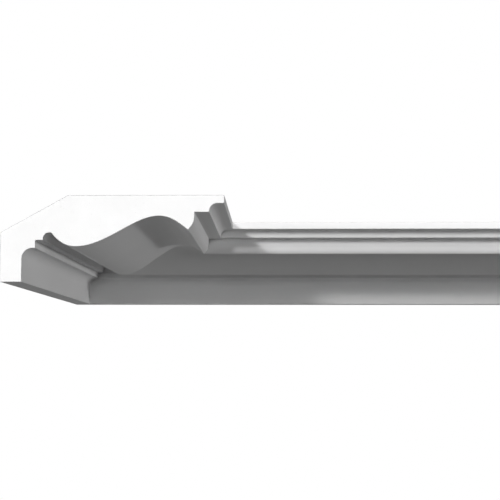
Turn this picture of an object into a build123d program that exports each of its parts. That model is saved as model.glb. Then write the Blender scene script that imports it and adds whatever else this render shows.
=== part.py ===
from build123d import *
import os

# Internal corner of a cornice: a long run on the back wall, mitred to a short return on the left wall.
# The origin is the corner of the room at the cornice's bottom edge. +X runs along the back wall,
# +Y points into the back wall, -Y runs along the left wall, and +Z points up to the ceiling.
# All sizes are in millimetres.

# Overall sizes
PROJECTION = 224.0
DROP = 87.0
LONG_RUN_LENGTH = 2000.0
RETURN_LENGTH = 444.0

# Back of the section: the face glued to the wall, the face glued to the ceiling, and a chamfer between
WALL_FACE_HEIGHT = 49.7
CEILING_FACE_WIDTH = 157.0

# Lower members, set out from the wall and from the bottom edge
BAND_THICKNESS = 21.6
BAND_HEIGHT = 23.4
CAVETTO_RADIUS = 10.5
CAVETTO_LEDGE = 2.8
LISTEL_HEIGHT = 8.0
LISTEL_LEDGE = 7.7
LOWER_COVE_STEP = 1.4
LOWER_COVE_RADIUS = 6.2
LOWER_COVE_LEDGE = 2.0

# Upper members, set out from the fascia and from the ceiling
FASCIA_HEIGHT = 8.1
FASCIA_LEDGE = 6.9
UPPER_COVE_RADIUS = 8.0
UPPER_COVE_STEP = 0.9
UPPER_LEDGE = 15.0
OVOLO_FACE_HEIGHT = 4.3
OVOLO_HEIGHT = 13.3
OVOLO_DEPTH = 6.4

# The ogee between them: a full bulge that hangs by the lower members, then a deep hollow
BULGE_WIDTH = 24.3
BULGE_DEPTH = 14.0
BULGE_START_ANGLE = 52.0
BULGE_START_REACH = 5.0
BULGE_REACH = 13.5
HOLLOW_WIDTH = 29.3
HOLLOW_HEIGHT = 13.8
HOLLOW_END_ANGLE = 38.4
HOLLOW_END_REACH = 15.0
HOLLOW_REACH = 10.8
SLOPE_LOWER_REACH = 30.3
SLOPE_UPPER_REACH = 24.7


def lower_corners():
    """Corners of the band, the listel and the small cove, from the bottom edge upwards."""
    cavetto_top = BAND_HEIGHT + CAVETTO_RADIUS
    listel_out = BAND_THICKNESS + CAVETTO_RADIUS + CAVETTO_LEDGE
    listel_top = cavetto_top + LISTEL_HEIGHT
    cove_out = listel_out + LISTEL_LEDGE
    cove_start = listel_top + LOWER_COVE_STEP
    cove_top = cove_start + LOWER_COVE_RADIUS
    return {
        "band_bottom": (BAND_THICKNESS, 0),
        "band_top": (BAND_THICKNESS, BAND_HEIGHT),
        "cavetto_end": (BAND_THICKNESS + CAVETTO_RADIUS, cavetto_top),
        "listel_bottom": (listel_out, cavetto_top),
        "listel_top": (listel_out, listel_top),
        "listel_ledge_end": (cove_out, listel_top),
        "cove_start": (cove_out, cove_start),
        "cove_end": (cove_out + LOWER_COVE_RADIUS, cove_top),
        "ogee_start": (cove_out + LOWER_COVE_RADIUS + LOWER_COVE_LEDGE, cove_top),
    }


def upper_corners():
    """Corners of the ovolo, the upper cove and the fascia, from the arris of the hollow upwards."""
    fascia_bottom = DROP - FASCIA_HEIGHT
    cove_start = fascia_bottom - UPPER_COVE_RADIUS
    cove_out = PROJECTION - FASCIA_LEDGE
    ledge_height = cove_start - UPPER_COVE_STEP
    ledge_out = cove_out - UPPER_COVE_RADIUS
    ovolo_out = ledge_out - UPPER_LEDGE
    ovolo_top = ledge_height - OVOLO_FACE_HEIGHT
    return {
        "arris": (ovolo_out - OVOLO_DEPTH, ovolo_top - OVOLO_HEIGHT),
        "ovolo_top": (ovolo_out, ovolo_top),
        "ledge_start": (ovolo_out, ledge_height),
        "ledge_end": (ledge_out, ledge_height),
        "cove_start": (ledge_out, cove_start),
        "cove_end": (cove_out, fascia_bottom),
        "fascia_bottom": (PROJECTION, fascia_bottom),
        "fascia_top": (PROJECTION, DROP),
    }


def reach(point, length, angle):
    """The point a given length away, at an angle in degrees from the line out from the wall."""
    return Vector(*point) + Vector(length, 0).rotate(Axis.Z, angle)


def ogee(start, arris):
    """The S-curve: down round the bulge, up the slope, over the hollow and down to the arris."""
    lowest = (start[0] + BULGE_WIDTH, start[1] - BULGE_DEPTH)
    highest = (arris[0] - HOLLOW_WIDTH, arris[1] + HOLLOW_HEIGHT)
    bulge = Bezier(
        start,
        reach(start, BULGE_START_REACH, -BULGE_START_ANGLE),
        reach(lowest, BULGE_REACH, 180),
        lowest,
    )
    slope = Bezier(
        lowest,
        reach(lowest, SLOPE_LOWER_REACH, 0),
        reach(highest, SLOPE_UPPER_REACH, 180),
        highest,
    )
    hollow = Bezier(
        highest,
        reach(highest, HOLLOW_REACH, 0),
        reach(arris, HOLLOW_END_REACH, 180 - HOLLOW_END_ANGLE),
        arris,
    )
    return [bulge, slope, hollow]


def lower_members(corner):
    """The flat band, the cavetto over it, the square listel and the small cove."""
    return [
        Line(corner["band_bottom"], corner["band_top"]),
        TangentArc(corner["band_top"], corner["cavetto_end"], tangent=(0, 1)),
        Line(corner["cavetto_end"], corner["listel_bottom"]),
        Line(corner["listel_bottom"], corner["listel_top"]),
        Line(corner["listel_top"], corner["listel_ledge_end"]),
        Line(corner["listel_ledge_end"], corner["cove_start"]),
        TangentArc(corner["cove_start"], corner["cove_end"], tangent=(0, 1)),
        Line(corner["cove_end"], corner["ogee_start"]),
    ]


def upper_members(corner):
    """The ovolo with its short upright face, the upper cove and the square fascia."""
    return [
        TangentArc(corner["ovolo_top"], corner["arris"], tangent=(0, -1)),
        Line(corner["ovolo_top"], corner["ledge_start"]),
        Line(corner["ledge_start"], corner["ledge_end"]),
        Line(corner["ledge_end"], corner["cove_start"]),
        TangentArc(corner["cove_start"], corner["cove_end"], tangent=(0, 1)),
        Line(corner["cove_end"], corner["fascia_bottom"]),
        Line(corner["fascia_bottom"], corner["fascia_top"]),
    ]


def back_faces(band_bottom, fascia_top):
    """The ceiling face, the chamfer across the corner of the room, the wall face and the bottom edge."""
    return [
        Polyline(
            fascia_top,
            (PROJECTION - CEILING_FACE_WIDTH, DROP),
            (0, WALL_FACE_HEIGHT),
            (0, 0),
            band_bottom,
        )
    ]


def section():
    """The cornice's section: x is the distance out from the wall, y the height over the bottom edge."""
    lower = lower_corners()
    upper = upper_corners()
    edges = lower_members(lower)
    edges += ogee(lower["ogee_start"], upper["arris"])
    edges += upper_members(upper)
    edges += back_faces(lower["band_bottom"], upper["fascia_top"])
    return make_face(edges)


def straight_length(first_end, length):
    """A length of the cornice, square at both ends, with its section drawn on the plane of its first end."""
    return extrude(first_end * section(), length)


def mitre_plane():
    """The upright 45 degree plane through the corner of the room, facing the long run."""
    return Plane(origin=(0, 0, 0), x_dir=(0, 0, 1), z_dir=(1, 1, 0))


def long_run():
    """The length on the back wall, with its mitre at the corner of the room."""
    right_end = Plane(origin=(LONG_RUN_LENGTH, 0, 0), x_dir=(0, -1, 0), z_dir=(-1, 0, 0))
    square_cut = straight_length(right_end, LONG_RUN_LENGTH)
    return split(square_cut, bisect_by=mitre_plane(), keep=Keep.TOP)


def short_return():
    """The length on the left wall, with its mitre at the corner of the room."""
    corner_end = Plane(origin=(0, 0, 0), x_dir=(1, 0, 0), z_dir=(0, -1, 0))
    square_cut = straight_length(corner_end, RETURN_LENGTH)
    return split(square_cut, bisect_by=mitre_plane(), keep=Keep.BOTTOM)


os.makedirs("parts", exist_ok=True)
export_step(long_run(), "parts/long_run.step")
export_step(short_return(), "parts/short_return.step")
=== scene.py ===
import math

import bpy
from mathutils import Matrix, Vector


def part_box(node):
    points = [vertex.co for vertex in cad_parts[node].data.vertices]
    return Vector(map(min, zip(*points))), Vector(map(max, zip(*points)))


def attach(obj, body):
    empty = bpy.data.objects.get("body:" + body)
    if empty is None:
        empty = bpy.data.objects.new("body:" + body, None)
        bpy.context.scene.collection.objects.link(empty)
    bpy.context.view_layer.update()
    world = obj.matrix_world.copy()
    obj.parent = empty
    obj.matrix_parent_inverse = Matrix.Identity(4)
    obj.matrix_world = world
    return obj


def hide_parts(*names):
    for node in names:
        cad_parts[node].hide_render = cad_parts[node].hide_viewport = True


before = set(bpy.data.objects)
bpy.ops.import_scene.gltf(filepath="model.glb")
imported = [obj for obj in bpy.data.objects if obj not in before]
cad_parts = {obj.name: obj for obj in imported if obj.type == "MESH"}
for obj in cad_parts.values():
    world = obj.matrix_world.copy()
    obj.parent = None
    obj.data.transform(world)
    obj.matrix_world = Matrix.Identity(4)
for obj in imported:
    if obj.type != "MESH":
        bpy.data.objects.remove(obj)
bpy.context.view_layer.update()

# Two mitred lengths of a wide white cornice, seen from the room: a short return that runs towards
# the viewer on the left wall, and a long run on the back wall. The corner of the room is the origin.
MM = 0.001

# Sizes along the walls and over all, taken from the frame
LONG_RUN_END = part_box("long_run")[1].x
RETURN_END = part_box("short_return")[0].y
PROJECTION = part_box("short_return")[1].x
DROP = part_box("short_return")[1].z

# Back of the section
WALL_FACE_HEIGHT = 49.7 * MM
CEILING_FACE_WIDTH = 157.0 * MM

# Lower members, set out from the wall and from the bottom edge
BAND_THICKNESS = 21.6 * MM
BAND_HEIGHT = 23.4 * MM
CAVETTO_RADIUS = 10.5 * MM
CAVETTO_LEDGE = 2.8 * MM
LISTEL_HEIGHT = 8.0 * MM
LISTEL_LEDGE = 7.7 * MM
LOWER_COVE_STEP = 1.4 * MM
LOWER_COVE_RADIUS = 6.2 * MM
LOWER_COVE_LEDGE = 2.0 * MM

# Upper members, set out from the fascia and from the ceiling
FASCIA_HEIGHT = 8.1 * MM
FASCIA_LEDGE = 6.9 * MM
UPPER_COVE_RADIUS = 8.0 * MM
UPPER_COVE_STEP = 0.9 * MM
UPPER_LEDGE = 15.0 * MM
OVOLO_FACE_HEIGHT = 4.3 * MM
OVOLO_HEIGHT = 13.3 * MM
OVOLO_DEPTH = 6.4 * MM

# The ogee between them
BULGE_WIDTH = 24.3 * MM
BULGE_DEPTH = 14.0 * MM
BULGE_START_ANGLE = math.radians(52.0)
BULGE_START_REACH = 5.0 * MM
BULGE_REACH = 13.5 * MM
HOLLOW_WIDTH = 29.3 * MM
HOLLOW_HEIGHT = 13.8 * MM
HOLLOW_END_ANGLE = math.radians(38.4)
HOLLOW_END_REACH = 15.0 * MM
HOLLOW_REACH = 10.8 * MM
SLOPE_LOWER_REACH = 30.3 * MM
SLOPE_UPPER_REACH = 24.7 * MM

# How finely the section is drawn, how far its arrises are eased, and which of its turns are arrises
CURVE_STEPS = 20
ARRIS_RADIUS = 0.35 * MM
ARRIS_ANGLE = math.radians(20)
SMOOTH_ANGLE = math.radians(24)
JOIN_DISTANCE = 0.002 * MM

# The dense skin round the cut foam, thinner than the arris radius so that its inset can't fold over
SKIN_THICKNESS = 0.3 * MM

# How nearly a face has to point along a direction to be taken for a sawn, a glued or an upper one
SAWN_FACING = 0.999
GLUED_FACING = 0.9
UPWARD_FACING = 0.05

# Slots of a piece's finishes
PRIMED, SKIN, SAWN, SKIN_EDGE = range(4)


# The section, drawn as one closed Bezier curve

def polar(length, angle):
    """A step of a given length and direction in the plane of the section."""
    return Vector((length * math.cos(angle), length * math.sin(angle)))


class Outline:
    """A closed outline, drawn knot by knot: x is the distance out from the wall, y the height."""

    def __init__(self, knots):
        self.knots = knots
        self.handles_out = {}
        self.handles_in = {}

    def line(self, x, y):
        """A straight stretch."""
        self.knots.append(Vector((x, y)))

    def curve(self, handle_out, handle_in, end):
        """A curved stretch, given by its two handles."""
        self.handles_out[len(self.knots) - 1] = handle_out
        self.handles_in[len(self.knots)] = handle_in
        self.knots.append(end)

    def arc(self, end, arriving):
        """A round stretch that arrives at its end in a given direction."""
        start = self.knots[-1]
        chord = end - start
        along = chord.normalized()
        arriving = Vector(arriving)
        leaving = 2 * along.dot(arriving) * along - arriving
        half_turn = along.angle(arriving)
        radius = chord.length / (2 * math.sin(half_turn))
        handle = 4 / 3 * math.tan(half_turn / 2) * radius
        self.curve(start + leaving * handle, end - arriving * handle, end)

    def eased(self):
        """The same outline with each of its sharp corners rounded a little."""
        rounded = Outline([])
        for i, knot in enumerate(self.knots):
            before = self.handles_in.get(i, self.knots[i - 1])
            after = self.handles_out.get(i, self.knots[(i + 1) % len(self.knots)])
            arriving = (knot - before).normalized()
            leaving = (after - knot).normalized()
            turn = arriving.angle(leaving)
            corner = ARRIS_RADIUS * math.tan(turn / 2) if turn > ARRIS_ANGLE else 0
            if i in self.handles_in:
                rounded.handles_in[len(rounded.knots)] = before
            rounded.knots.append(knot - arriving * corner)
            if corner:
                handle = 4 / 3 * math.tan(turn / 4) * ARRIS_RADIUS
                start = rounded.knots[-1]
                end = knot + leaving * corner
                rounded.curve(start + arriving * handle, end - leaving * handle, end)
            if i in self.handles_out:
                rounded.handles_out[len(rounded.knots) - 1] = after
        return rounded


def draw_lower_members(outline):
    """The flat band, the cavetto over it, the square listel and the small cove."""
    cavetto_top = BAND_HEIGHT + CAVETTO_RADIUS
    listel_out = BAND_THICKNESS + CAVETTO_RADIUS + CAVETTO_LEDGE
    listel_top = cavetto_top + LISTEL_HEIGHT
    cove_out = listel_out + LISTEL_LEDGE
    cove_start = listel_top + LOWER_COVE_STEP
    cove_end = Vector((cove_out + LOWER_COVE_RADIUS, cove_start + LOWER_COVE_RADIUS))
    outline.line(BAND_THICKNESS, 0)
    outline.line(BAND_THICKNESS, BAND_HEIGHT)
    outline.arc(Vector((BAND_THICKNESS + CAVETTO_RADIUS, cavetto_top)), arriving=(1, 0))
    outline.line(listel_out, cavetto_top)
    outline.line(listel_out, listel_top)
    outline.line(cove_out, listel_top)
    outline.line(cove_out, cove_start)
    outline.arc(cove_end, arriving=(1, 0))
    outline.line(cove_end.x + LOWER_COVE_LEDGE, cove_end.y)


def draw_ogee(outline, arris):
    """The S-curve: down round the bulge, up the slope, over the hollow and down to the arris."""
    start = outline.knots[-1]
    lowest = start + Vector((BULGE_WIDTH, -BULGE_DEPTH))
    highest = arris + Vector((-HOLLOW_WIDTH, HOLLOW_HEIGHT))
    outline.curve(
        start + polar(BULGE_START_REACH, -BULGE_START_ANGLE),
        lowest + polar(BULGE_REACH, math.pi),
        lowest,
    )
    outline.curve(
        lowest + polar(SLOPE_LOWER_REACH, 0),
        highest + polar(SLOPE_UPPER_REACH, math.pi),
        highest,
    )
    outline.curve(
        highest + polar(HOLLOW_REACH, 0),
        arris + polar(HOLLOW_END_REACH, math.pi - HOLLOW_END_ANGLE),
        arris,
    )


def draw_upper_members(outline, ovolo_top):
    """The ovolo with its short upright face, the upper cove and the square fascia."""
    ledge_height = ovolo_top.y + OVOLO_FACE_HEIGHT
    ledge_out = ovolo_top.x + UPPER_LEDGE
    cove_start = ledge_height + UPPER_COVE_STEP
    cove_end = Vector((ledge_out + UPPER_COVE_RADIUS, cove_start + UPPER_COVE_RADIUS))
    outline.arc(ovolo_top, arriving=(0, 1))
    outline.line(ovolo_top.x, ledge_height)
    outline.line(ledge_out, ledge_height)
    outline.line(ledge_out, cove_start)
    outline.arc(cove_end, arriving=(1, 0))
    outline.line(PROJECTION, cove_end.y)
    outline.line(PROJECTION, DROP)


def draw_section():
    """The whole outline, from the bottom edge at the wall round to the top of the wall face."""
    ovolo_top = Vector((
        PROJECTION - FASCIA_LEDGE - UPPER_COVE_RADIUS - UPPER_LEDGE,
        DROP - FASCIA_HEIGHT - UPPER_COVE_RADIUS - UPPER_COVE_STEP - OVOLO_FACE_HEIGHT,
    ))
    outline = Outline([Vector((0, 0))])
    draw_lower_members(outline)
    draw_ogee(outline, ovolo_top - Vector((OVOLO_DEPTH, OVOLO_HEIGHT)))
    draw_upper_members(outline, ovolo_top)
    outline.line(PROJECTION - CEILING_FACE_WIDTH, DROP)
    outline.line(0, WALL_FACE_HEIGHT)
    return outline.eased()


def section_curve(name, place):
    """The outline as a flat, closed Bezier curve, with each of its points where place(x, y) says."""
    outline = draw_section()
    bpy.ops.curve.primitive_bezier_curve_add()
    curve = bpy.context.object
    curve.name = name
    curve.data.dimensions = "3D"
    curve.data.resolution_u = CURVE_STEPS
    spline = curve.data.splines[0]
    spline.use_cyclic_u = True
    spline.bezier_points.add(len(outline.knots) - len(spline.bezier_points))
    for point, knot in zip(spline.bezier_points, outline.knots):
        point.co = place(*knot)
    for i, point in enumerate(spline.bezier_points):
        point.handle_left_type = "FREE" if i in outline.handles_in else "VECTOR"
        point.handle_right_type = "FREE" if i in outline.handles_out else "VECTOR"
        if i in outline.handles_in:
            point.handle_left = place(*outline.handles_in[i])
        if i in outline.handles_out:
            point.handle_right = place(*outline.handles_out[i])
    return curve


# Finishes. What more than one of them uses is a node group. Spacings and depths are real lengths.

# The shared effects: the part of a noise's range that shows, how far the streaks are drawn out, how
# wide and high the swell is next to the droplets, and the size of a pinhole and of its flat floor
DRIFT_RANGE = (0.34, 0.66)
STREAK_RANGE = (0.3, 0.7)
STREAK_STRETCH = 0.02
SWELL_WIDTH = 6.0
SWELL_HEIGHT = 1.5
HOLE_RADIUS = (0.08, 0.26)
HOLE_FLOOR = 0.6

# White primer
PRIMER_LIGHT = 0.87
PRIMER_DARK = 0.85
PRIMER_STREAK = 0.835
PRIMER_STREAK_SHARE = 0.35
PRIMER_ROUGHNESS = (0.86, 0.94)
PRIMER_GLOSS = 0.06
PRIMER_DRIFT_SPACING = 90 * MM
PRIMER_STREAK_SPACING = 3 * MM
PRIMER_STREAK_DEPTH = 0.012 * MM
PRIMER_STIPPLE_SPACING = 1.1 * MM
PRIMER_STIPPLE_DEPTH = 0.008 * MM

# Bare skin of the moulded foam
SKIN_LIGHT = (0.70, 0.69, 0.65, 1)
SKIN_DARK = (0.655, 0.645, 0.6, 1)
SKIN_STREAK = (0.6, 0.59, 0.545, 1)
SKIN_STREAK_SHARE = 0.45
# Painted shade: the pinholes are coloured darker than the skin, standing in for the shade inside them
SKIN_HOLE_SHADE = (0.42, 0.41, 0.37, 1)
SKIN_HOLE_SHADE_SHARE = 0.6
SKIN_ROUGHNESS = (0.7, 0.84)
SKIN_GLOSS = 0.12
SKIN_DRIFT_SPACING = 45 * MM
SKIN_STREAK_SPACING = 9 * MM
SKIN_STREAK_DEPTH = 0.04 * MM
SKIN_SWELL_SPACING = 5 * MM
SKIN_SWELL_DEPTH = 0.12 * MM
SKIN_HOLE_SPACING = 4.5 * MM
SKIN_HOLE_CHANCE = 0.3
SKIN_HOLE_DEPTH = 0.25 * MM

# Sawn foam
SAWN_LIGHT = 0.87
SAWN_DARK = 0.845
# Painted shade: the cells and the larger cells are coloured darker towards their middles and lighter
# at their walls, standing in for the shade in their pits
SAWN_PIT_SHADE = 0.66
SAWN_PIT_SHADE_SHARE = 0.5
SAWN_ROUGHNESS = (0.96, 0.85)
SAWN_GLOSS = 0.1
SAWN_DRIFT_SPACING = 30 * MM
CELL_SPACING = 0.45 * MM
CELL_RADIUS = 0.8
CELL_DEPTH = 0.1 * MM
CELL_CENTRE_SHADE = 0.12
PIT_SHADE_RANGE = (-0.1, 1.0)
LARGE_CELL_SPACING = 2.6 * MM
LARGE_CELL_CHANCE = 0.35
LARGE_CELL_DEPTH = 0.3 * MM
SAW_MARK_SLANT = math.radians(18)
SAW_MARK_SCALE = 200.0
SAW_MARK_DEPTH = 0.03 * MM

# Cut edge of the skin
EDGE_LIGHT = 0.38
EDGE_DARK = 0.3
EDGE_ROUGHNESS = (0.55, 0.7)
EDGE_GLOSS = 0.2
EDGE_DRIFT_SPACING = 6 * MM
EDGE_STIPPLE_SPACING = 0.4 * MM
EDGE_STIPPLE_DEPTH = 0.01 * MM


def add_node(tree, kind, inputs, **settings):
    """A new node with its settings. Each of its inputs is a value, or the socket that feeds it."""
    node = tree.nodes.new(kind)
    for name, value in settings.items():
        setattr(node, name, value)
    for name, value in inputs.items():
        if isinstance(value, bpy.types.NodeSocket):
            tree.links.new(value, node.inputs[name])
        else:
            node.inputs[name].default_value = value
    return node.outputs


def calculate(tree, operation, *values):
    """The result of one step of arithmetic."""
    return add_node(tree, "ShaderNodeMath", dict(enumerate(values)), operation=operation)[0]


def fit_range(tree, value, given=(0.0, 1.0), wanted=(0.0, 1.0)):
    """A value stretched from one range to another, and kept inside it."""
    inputs = {
        "Value": value,
        "From Min": given[0], "From Max": given[1],
        "To Min": wanted[0], "To Max": wanted[1],
    }
    return add_node(tree, "ShaderNodeMapRange", inputs)["Result"]


def mix_colours(tree, factor, first, second):
    """A colour between two others."""
    return add_node(tree, "ShaderNodeMix", {0: factor, 6: first, 7: second}, data_type="RGBA")[2]


def noise(tree, vector, spacing, detail=2.0, roughness=0.5):
    """Soft noise, with its lumps about a given distance apart."""
    scale = calculate(tree, "DIVIDE", 1.0, spacing)
    inputs = {"Vector": vector, "Scale": scale, "Detail": detail, "Roughness": roughness}
    return add_node(tree, "ShaderNodeTexNoise", inputs)["Fac"]


def cells(tree, vector, spacing):
    """Cells about a given distance apart: a point's distance from the centre, and a colour each."""
    scale = calculate(tree, "DIVIDE", 1.0, spacing)
    return add_node(tree, "ShaderNodeTexVoronoi", {"Vector": vector, "Scale": scale})


def new_group(name, inputs, outputs):
    """An empty node group, and the sockets inside it that carry its inputs and outputs."""
    group = bpy.data.node_groups.new(name, "ShaderNodeTree")
    for socket, kind in inputs.items():
        group.interface.new_socket(socket, in_out="INPUT", socket_type="NodeSocket" + kind)
    for socket, kind in outputs.items():
        group.interface.new_socket(socket, in_out="OUTPUT", socket_type="NodeSocket" + kind)
    inside = group.nodes.new("NodeGroupInput").outputs
    ends = group.nodes.new("NodeGroupOutput").inputs
    return group, inside, ends


def uneven_tone_group():
    """A colour that drifts softly between two tones, as a thin coat does over a large surface."""
    inputs = {"Vector": "Vector", "Spacing": "Float", "Light Tone": "Color", "Dark Tone": "Color"}
    tree, given, result = new_group("uneven_tone", inputs, {"Color": "Color", "Mask": "Float"})
    drift = noise(tree, given["Vector"], given["Spacing"], detail=4.0, roughness=0.6)
    mask = fit_range(tree, drift, given=DRIFT_RANGE)
    colour = mix_colours(tree, mask, given["Dark Tone"], given["Light Tone"])
    tree.links.new(colour, result["Color"])
    tree.links.new(mask, result["Mask"])
    return tree


def long_streaks_group():
    """Faint draw marks that run a long way along X and are close together across it."""
    inputs = {"Vector": "Vector", "Spacing": "Float"}
    tree, given, result = new_group("long_streaks", inputs, {"Mask": "Float"})
    stretch = {"Vector": given["Vector"], "Scale": (STREAK_STRETCH, 1, 1)}
    stretched = add_node(tree, "ShaderNodeMapping", stretch)["Vector"]
    marks = noise(tree, stretched, given["Spacing"], detail=3.0, roughness=0.6)
    tree.links.new(fit_range(tree, marks, given=STREAK_RANGE), result["Mask"])
    return tree


def spray_stipple_group():
    """The fine orange peel of a sprayed coat: small droplets on a softer, wider swell."""
    inputs = {"Vector": "Vector", "Spacing": "Float"}
    tree, given, result = new_group("spray_stipple", inputs, {"Height": "Float"})
    droplets = noise(tree, given["Vector"], given["Spacing"])
    wide = calculate(tree, "MULTIPLY", given["Spacing"], SWELL_WIDTH)
    swell = noise(tree, given["Vector"], wide, detail=1.0)
    height = calculate(tree, "MULTIPLY_ADD", swell, SWELL_HEIGHT, droplets)
    tree.links.new(height, result["Height"])
    return tree


def pinholes_group():
    """Sparse round pinholes, of uneven size, as gas leaves in a moulded skin or a sawn face. Its mask
    is where the materials paint shade into the holes.
    """
    inputs = {"Vector": "Vector", "Spacing": "Float", "Share": "Float"}
    tree, given, result = new_group("pinholes", inputs, {"Height": "Float", "Mask": "Float"})
    cell = cells(tree, given["Vector"], given["Spacing"])
    chance = add_node(tree, "ShaderNodeSeparateColor", {"Color": cell["Color"]})
    chosen = calculate(tree, "LESS_THAN", chance["Red"], given["Share"])
    radius = fit_range(tree, chance["Green"], wanted=HOLE_RADIUS)
    reach = calculate(tree, "DIVIDE", cell["Distance"], radius)
    inside = fit_range(tree, reach, given=(HOLE_FLOOR, 1.0), wanted=(1.0, 0.0))
    mask = calculate(tree, "MULTIPLY", inside, chosen)
    tree.links.new(mask, result["Mask"])
    tree.links.new(calculate(tree, "SUBTRACT", 1.0, mask), result["Height"])
    return tree


GROUPS = {
    "uneven_tone": uneven_tone_group(),
    "long_streaks": long_streaks_group(),
    "spray_stipple": spray_stipple_group(),
    "pinholes": pinholes_group(),
}


def effect(tree, name, **inputs):
    """One of the shared effects, placed in a material with its own values."""
    node = tree.nodes.new("ShaderNodeGroup")
    node.node_tree = GROUPS[name]
    for socket, value in inputs.items():
        socket = socket.replace("_", " ").title()
        if isinstance(value, bpy.types.NodeSocket):
            tree.links.new(value, node.inputs[socket])
        else:
            node.inputs[socket].default_value = value
    return node.outputs


def grey(level):
    """A neutral colour."""
    return (level, level, level, 1)


def new_material(name, gloss):
    """A node material, with its node tree and its shader."""
    material = bpy.data.materials.new(name)
    material.use_nodes = True
    shader = material.node_tree.nodes["Principled BSDF"]
    shader.inputs["Specular IOR Level"].default_value = gloss
    return material, material.node_tree, shader


def bump(tree, height, depth, under=None):
    """A relief of a given depth, on top of the relief under it."""
    inputs = {"Height": height, "Distance": depth}
    if under:
        inputs["Normal"] = under
    return add_node(tree, "ShaderNodeBump", inputs)["Normal"]


def finish_shader(tree, shader, colour, roughness, normal):
    """Feeds the shader what changes over the surface."""
    tree.links.new(colour, shader.inputs["Base Color"])
    tree.links.new(roughness, shader.inputs["Roughness"])
    tree.links.new(normal, shader.inputs["Normal"])


def object_place(tree, turn=0.0):
    """A point of the piece, in metres, turned about the upright axis."""
    coordinates = add_node(tree, "ShaderNodeTexCoord", {})["Object"]
    inputs = {"Vector": coordinates, "Rotation": (0, 0, turn)}
    return add_node(tree, "ShaderNodeMapping", inputs)["Vector"]


def primed_face(name, turn):
    """Matt white primer, sprayed on the face of a length that runs along X once it is turned."""
    material, tree, shader = new_material(name, PRIMER_GLOSS)
    place = object_place(tree, turn)
    tone = effect(
        tree, "uneven_tone", vector=place, spacing=PRIMER_DRIFT_SPACING,
        light_tone=grey(PRIMER_LIGHT), dark_tone=grey(PRIMER_DARK),
    )
    streaks = effect(tree, "long_streaks", vector=place, spacing=PRIMER_STREAK_SPACING)["Mask"]
    stipple = effect(tree, "spray_stipple", vector=place, spacing=PRIMER_STIPPLE_SPACING)["Height"]
    streak_share = fit_range(tree, streaks, wanted=(0.0, PRIMER_STREAK_SHARE))
    colour = mix_colours(tree, streak_share, tone["Color"], grey(PRIMER_STREAK))
    roughness = fit_range(tree, streaks, wanted=PRIMER_ROUGHNESS)
    marks = bump(tree, streaks, PRIMER_STREAK_DEPTH)
    finish_shader(tree, shader, colour, roughness, bump(tree, stipple, PRIMER_STIPPLE_DEPTH, marks))
    return material


def foam_skin(name, turn):
    """Bare moulded skin, on the faces that are glued, with pinholes and marks along the run. The
    pinholes are coloured darker, as painted shade inside them.
    """
    material, tree, shader = new_material(name, SKIN_GLOSS)
    place = object_place(tree, turn)
    tone = effect(
        tree, "uneven_tone", vector=place, spacing=SKIN_DRIFT_SPACING,
        light_tone=SKIN_LIGHT, dark_tone=SKIN_DARK,
    )
    streaks = effect(tree, "long_streaks", vector=place, spacing=SKIN_STREAK_SPACING)["Mask"]
    holes = effect(
        tree, "pinholes", vector=place, spacing=SKIN_HOLE_SPACING, share=SKIN_HOLE_CHANCE,
    )
    swell = effect(tree, "spray_stipple", vector=place, spacing=SKIN_SWELL_SPACING)["Height"]
    streak_share = fit_range(tree, streaks, wanted=(0.0, SKIN_STREAK_SHARE))
    # Painted shade: the colour is darkened inside the pinholes
    hole_shade_share = fit_range(tree, holes["Mask"], wanted=(0.0, SKIN_HOLE_SHADE_SHARE))
    marked = mix_colours(tree, streak_share, tone["Color"], SKIN_STREAK)
    colour = mix_colours(tree, hole_shade_share, marked, SKIN_HOLE_SHADE)
    roughness = fit_range(tree, streaks, wanted=SKIN_ROUGHNESS)
    marks = bump(tree, streaks, SKIN_STREAK_DEPTH, bump(tree, swell, SKIN_SWELL_DEPTH))
    normal = bump(tree, holes["Height"], SKIN_HOLE_DEPTH, marks)
    finish_shader(tree, shader, colour, roughness, normal)
    return material


def sawn_foam():
    """Foam as the saw left it: near white, with fine cells, a few larger ones and saw marks. Its cells
    are coloured darker at their middles, as painted shade in the pits.
    """
    material, tree, shader = new_material("sawn_foam", SAWN_GLOSS)
    place = object_place(tree)
    tone = effect(
        tree, "uneven_tone", vector=place, spacing=SAWN_DRIFT_SPACING,
        light_tone=grey(SAWN_LIGHT), dark_tone=grey(SAWN_DARK),
    )
    large = effect(
        tree, "pinholes", vector=place, spacing=LARGE_CELL_SPACING, share=LARGE_CELL_CHANCE,
    )
    distance = cells(tree, place, CELL_SPACING)["Distance"]
    slant = {"Vector": place, "Rotation": (0, SAW_MARK_SLANT, 0)}
    marks = {
        "Vector": add_node(tree, "ShaderNodeMapping", slant)["Vector"],
        "Scale": SAW_MARK_SCALE, "Distortion": 1.2, "Detail": 2.0, "Detail Scale": 2.0,
    }
    saw = add_node(tree, "ShaderNodeTexWave", marks, bands_direction="X")["Fac"]
    # Painted shade in the cells: a darker colour at the middles of the fine cells and in the larger
    # ones
    pit_shade = calculate(tree, "MULTIPLY_ADD", distance, -CELL_CENTRE_SHADE, large["Mask"])
    pit_shade_share = fit_range(tree, pit_shade, given=PIT_SHADE_RANGE, wanted=(0.0, SAWN_PIT_SHADE_SHARE))
    colour = mix_colours(tree, pit_shade_share, tone["Color"], grey(SAWN_PIT_SHADE))
    roughness = fit_range(tree, distance, given=(0.0, CELL_RADIUS), wanted=SAWN_ROUGHNESS)
    fine = bump(tree, distance, CELL_DEPTH, bump(tree, saw, SAW_MARK_DEPTH))
    normal = bump(tree, large["Height"], LARGE_CELL_DEPTH, fine)
    finish_shader(tree, shader, colour, roughness, normal)
    return material


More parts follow.
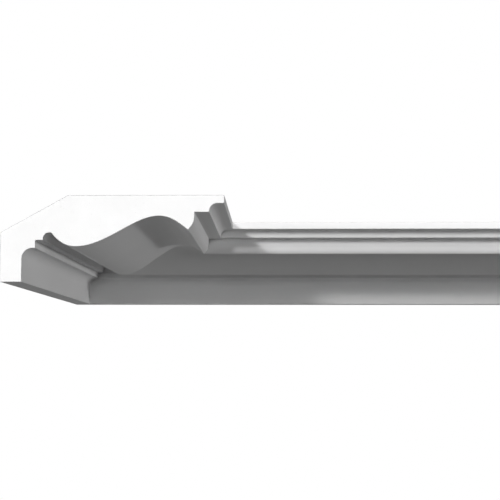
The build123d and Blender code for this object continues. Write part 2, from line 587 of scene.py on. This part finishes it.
def skin_edge():
    """The dense skin of the foam where the saw has cut it: a thin darker line round the cut."""
    material, tree, shader = new_material("skin_edge", EDGE_GLOSS)
    place = object_place(tree)
    tone = effect(
        tree, "uneven_tone", vector=place, spacing=EDGE_DRIFT_SPACING,
        light_tone=grey(EDGE_LIGHT), dark_tone=grey(EDGE_DARK),
    )
    stipple = effect(tree, "spray_stipple", vector=place, spacing=EDGE_STIPPLE_SPACING)["Height"]
    roughness = fit_range(tree, tone["Mask"], wanted=EDGE_ROUGHNESS)
    normal = bump(tree, stipple, EDGE_STIPPLE_DEPTH)
    finish_shader(tree, shader, tone["Color"], roughness, normal)
    return material


# A length of cornice: the section is filled, drawn out along its wall and cut at the mitre

def finish_of(face, out, mitre):
    """Sawn across the run and in the mitre, bare skin on top and at the back, primed elsewhere."""
    along = out.cross(Vector((0, 0, 1)))
    if max(abs(face.normal.dot(mitre)), abs(face.normal.dot(along))) > SAWN_FACING:
        return SAWN
    if face.normal.z > UPWARD_FACING or face.normal.dot(out) < -GLUED_FACING:
        return SKIN
    return PRIMED


def inset_cut_end(piece, end, out):
    """Marks off the dense skin round the square cut end."""
    along = out.cross(Vector((0, 0, 1)))
    mesh = piece.data
    for part in (mesh.vertices, mesh.edges, mesh.polygons):
        part.foreach_set("select", [False] * len(part))
    for face in mesh.polygons:
        face.select = abs((face.center - end).dot(along)) < JOIN_DISTANCE
    bpy.ops.object.mode_set(mode="EDIT")
    bpy.ops.mesh.select_mode(type="FACE")
    bpy.ops.mesh.inset(thickness=SKIN_THICKNESS, use_boundary=True, use_even_offset=True)
    bpy.ops.object.mode_set(mode="OBJECT")
    for face in mesh.polygons:
        on_end = abs((face.center - end).dot(along)) < JOIN_DISTANCE
        if on_end and not face.select:
            face.material_index = SKIN_EDGE


def cornice_length(name, node, place, out, along, cut_away, primer, skin):
    """A length of the cornice along a wall, cut at the mitre on the side that cut_away points to."""
    bpy.ops.object.select_all(action="DESELECT")
    piece = section_curve(name, place)
    bpy.ops.object.convert(target="MESH")
    bpy.ops.object.mode_set(mode="EDIT")
    bpy.ops.mesh.select_all(action="SELECT")
    bpy.ops.mesh.remove_doubles(threshold=JOIN_DISTANCE)
    bpy.ops.mesh.edge_face_add()
    bpy.ops.mesh.extrude_region_move(TRANSFORM_OT_translate={"value": along})
    bpy.ops.mesh.select_all(action="SELECT")
    bpy.ops.mesh.bisect(plane_co=(0, 0, 0), plane_no=cut_away, use_fill=True, clear_outer=True)
    bpy.ops.mesh.select_all(action="SELECT")
    bpy.ops.mesh.normals_make_consistent(inside=False)
    bpy.ops.object.mode_set(mode="OBJECT")
    piece.data.name = name
    for finish in (primer, skin, sawn_finish, skin_edge_finish):
        piece.data.materials.append(finish)
    for face in piece.data.polygons:
        face.material_index = finish_of(face, Vector(out), cut_away.normalized())
    inset_cut_end(piece, Vector(place(0, 0)), Vector(out))
    bpy.ops.object.shade_smooth_by_angle(angle=SMOOTH_ANGLE)
    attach(piece, "root")
    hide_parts(node)


def long_run_place(x, y):
    """A point of the section on the plane of the long run's square end."""
    return (LONG_RUN_END, -x, y)


def return_place(x, y):
    """A point of the section on the plane of the return's square end."""
    return (x, RETURN_END, y)


sawn_finish = sawn_foam()
skin_edge_finish = skin_edge()
cornice_length(
    "long_run_moulding", "long_run", long_run_place,
    out=(0, -1, 0), along=(-LONG_RUN_END, 0, 0), cut_away=Vector((-1, -1, 0)),
    primer=primed_face("primer_on_long_run", turn=0.0),
    skin=foam_skin("skin_on_long_run", turn=0.0),
)
cornice_length(
    "short_return_moulding", "short_return", return_place,
    out=(1, 0, 0), along=(0, -RETURN_END, 0), cut_away=Vector((1, 1, 0)),
    primer=primed_face("primer_on_return", turn=math.pi / 2),
    skin=foam_skin("skin_on_return", turn=math.pi / 2),
)


# Floor, seen only from above, and lights

FLOOR_SIZE = 60.0
FLOOR_DROP = 0.5 * MM
FLOOR_NEAR = 2.5
FLOOR_FAR = 7.0
FLOOR_TONE = 0.72
FLOOR_ROUGHNESS = 0.8
FLOOR_GLOSS = 0.1


def add_floor():
    """A large pale floor just under the cornice. It fades to white far off, and is clear below."""
    bpy.ops.object.select_all(action="DESELECT")
    bpy.ops.mesh.primitive_plane_add(size=FLOOR_SIZE, location=(0, 0, -FLOOR_DROP))
    floor = bpy.context.object
    floor.name = "floor"
    material, tree, shader = new_material("pale_floor", FLOOR_GLOSS)
    shader.inputs["Base Color"].default_value = grey(FLOOR_TONE)
    shader.inputs["Roughness"].default_value = FLOOR_ROUGHNESS
    place = add_node(tree, "ShaderNodeTexCoord", {})["Object"]
    distance = add_node(tree, "ShaderNodeVectorMath", {0: place}, operation="LENGTH")["Value"]
    far = fit_range(tree, distance, given=(FLOOR_NEAR, FLOOR_FAR))
    white = add_node(tree, "ShaderNodeEmission", {})[0]
    clear = add_node(tree, "ShaderNodeBsdfTransparent", {})[0]
    below = add_node(tree, "ShaderNodeNewGeometry", {})["Backfacing"]
    above = calculate(tree, "SUBTRACT", 1.0, below)
    camera_ray = add_node(tree, "ShaderNodeLightPath", {})["Is Camera Ray"]
    seen = calculate(tree, "MULTIPLY", above, camera_ray)
    surface = add_node(tree, "ShaderNodeMixShader", {0: far, 1: shader.outputs[0], 2: white})[0]
    shown = add_node(tree, "ShaderNodeMixShader", {0: seen, 1: clear, 2: surface})[0]
    tree.links.new(shown, tree.nodes["Material Output"].inputs["Surface"])
    floor.data.materials.append(material)


def add_sun(name, azimuth, elevation, strength, size):
    """A distant lamp: azimuth 0 is in front, 90 is on the right, and the size is how wide it looks."""
    data = bpy.data.lights.new(name, "SUN")
    data.energy = strength
    data.angle = math.radians(size)
    lamp = bpy.data.objects.new(name, data)
    lamp.rotation_euler = (math.radians(90 - elevation), 0, math.radians(azimuth))
    bpy.context.scene.collection.objects.link(lamp)


def add_world(ambient):
    """A plain world: white behind the object, and a dim even light on it."""
    world = bpy.data.worlds.new("studio")
    world.use_nodes = True
    bpy.context.scene.world = world
    tree = world.node_tree
    backdrop = tree.nodes["Background"]
    backdrop.inputs["Color"].default_value = grey(1.0)
    rays = add_node(tree, "ShaderNodeLightPath", {})
    mirrored = calculate(tree, "MAXIMUM", rays["Is Glossy Ray"], rays["Is Transmission Ray"])
    seen = calculate(tree, "MAXIMUM", rays["Is Camera Ray"], mirrored)
    tree.links.new(fit_range(tree, seen, wanted=(ambient, 1.0)), backdrop.inputs["Strength"])


# Each lamp's azimuth, elevation, strength and apparent size, with the angles in degrees. The last
# two light the top and the back, and no more than graze the white faces that the photograph shows.
LAMPS = {
    "front_light": (0, 33, 1.513, 8),
    "high_key_light": (-23, 18, 0.792, 4),
    "key_light": (-19, 14, 0.474, 5),
    "low_key_light": (-17, 12, 0.308, 4),
    "level_left_light": (-60, 0, 0.671, 6),
    "level_right_light": (96, -6, 0.537, 5),
    "soft_right_light": (24, 4, 0.494, 20),
    "low_left_fill": (-60, -45, 0.274, 24),
    "low_back_fill": (140, -45, 0.195, 24),
    "top_light": (0, 90, 1.5, 10),
    "back_light": (-150, 8, 2.1, 8),
}
AMBIENT = 0.02

add_floor()
add_world(AMBIENT)
for lamp_name, setting in LAMPS.items():
    add_sun(lamp_name, *setting)


# Camera, as the photograph was taken: under the cornice, looking slightly up

CAMERA_PLACE = (0.2764, RETURN_END - 1.1331, -0.0812)
CAMERA_TURN = (95.689, -0.097, 1.331)
CAMERA_LENS = 82.41
SENSOR_WIDTH = 36

camera_data = bpy.data.cameras.new("camera")
camera_data.lens = CAMERA_LENS
camera_data.sensor_width = SENSOR_WIDTH
camera = bpy.data.objects.new("camera", camera_data)
camera.location = CAMERA_PLACE
camera.rotation_euler = [math.radians(turn) for turn in CAMERA_TURN]
bpy.context.scene.collection.objects.link(camera)
bpy.context.scene.camera = camera
bpy.context.scene.view_settings.view_transform = "Standard"
